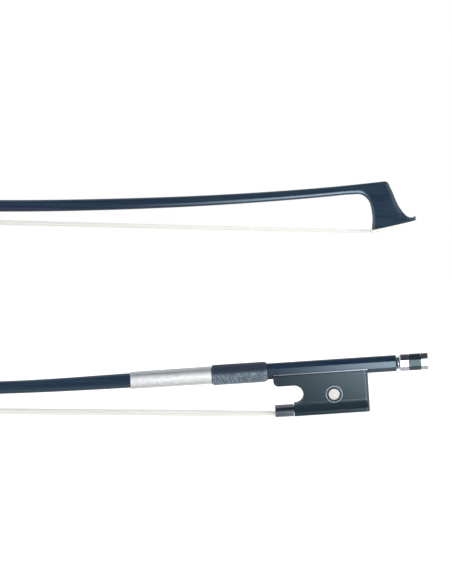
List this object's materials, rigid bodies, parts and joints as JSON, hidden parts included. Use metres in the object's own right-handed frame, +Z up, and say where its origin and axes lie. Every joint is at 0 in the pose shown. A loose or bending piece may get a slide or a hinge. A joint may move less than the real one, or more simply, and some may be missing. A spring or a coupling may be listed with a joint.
{
  "type": "violin bow",
  "caption": "Full-size violin bow: cambered stick with head, sliding frog moved by a turning end screw, flat hair ribbon, and a grip of wire winding and leather.",
  "frame": {"origin": "half the length of the bow along X, on its mirror plane in Y, at the height of its lowest edge, the front bottom edge of the ferrule, in Z", "axes": "+X along the hair from the head to the button, +Y across the bow, +Z up from the hair to the stick"},
  "size_m": [0.745, 0.0126, 0.0313],
  "materials": {
    "carbon_stick": "polished blue-black lacquer over carbon fibre",
    "ebony": "fine-grained ebony, oiled and polished",
    "bone": "smooth pale bone",
    "bound_hair": "hair ends bound with thread and set in rosin",
    "maple": "bare maple, planed",
    "bow_hair": "pale horsehair drawn flat",
    "silver_wire": "bright silver wire, closely wound",
    "grip_leather": "black grained leather",
    "nickel_silver": "polished nickel silver",
    "brass": "turned brass",
    "pearl": "polished mother of pearl",
    "screw_steel": "turned steel"
  },
  "bodies": {
    "stick": {"stick": "carbon_stick", "head_liner": "ebony", "tip_plate": "bone", "tip_hair_knot": "bound_hair", "tip_wedge": "maple", "hair_ribbon": "bow_hair", "wire_winding": "silver_wire", "leather_grip": "grip_leather"},
    "frog": {"frog_body": "ebony", "underslide": "nickel_silver", "underslide_pin_front": "brass", "underslide_pin_rear": "brass", "frog_eyelet": "brass", "ferrule": "nickel_silver", "ferrule_wedge": "maple", "frog_hair_knot": "bound_hair", "frog_plug": "maple", "pearl_slide": "pearl", "slide_backing": "ebony", "eye_ring_near": "nickel_silver", "eye_ring_far": "nickel_silver", "eye_pearl_near": "pearl", "eye_pearl_far": "pearl"},
    "screw": {"adjuster_screw": "screw_steel", "button_collar": "nickel_silver", "button_ring_front": "nickel_silver", "button_ring_rear": "nickel_silver", "button_core": "ebony"}
  },
  "joints": [
    {"name": "screw_turn", "type": "hinge", "parent": "stick", "child": "screw", "pos_m": [0.35679, 0, 0.02636], "axis": [-0.9973, 0, -0.0741], "range_deg": [-1028.6, 3085.8]},
    {"name": "frog_slide", "type": "slide", "parent": "stick", "child": "frog", "axis": [0.9973, 0, 0.0741], "range_m": [-0.002, 0.006], "deforming": ["hair_ribbon"]}
  ],
  "couplings": [
    {"joint": "screw_turn", "follows": "frog_slide", "rad_per_m": 8976}
  ]
}
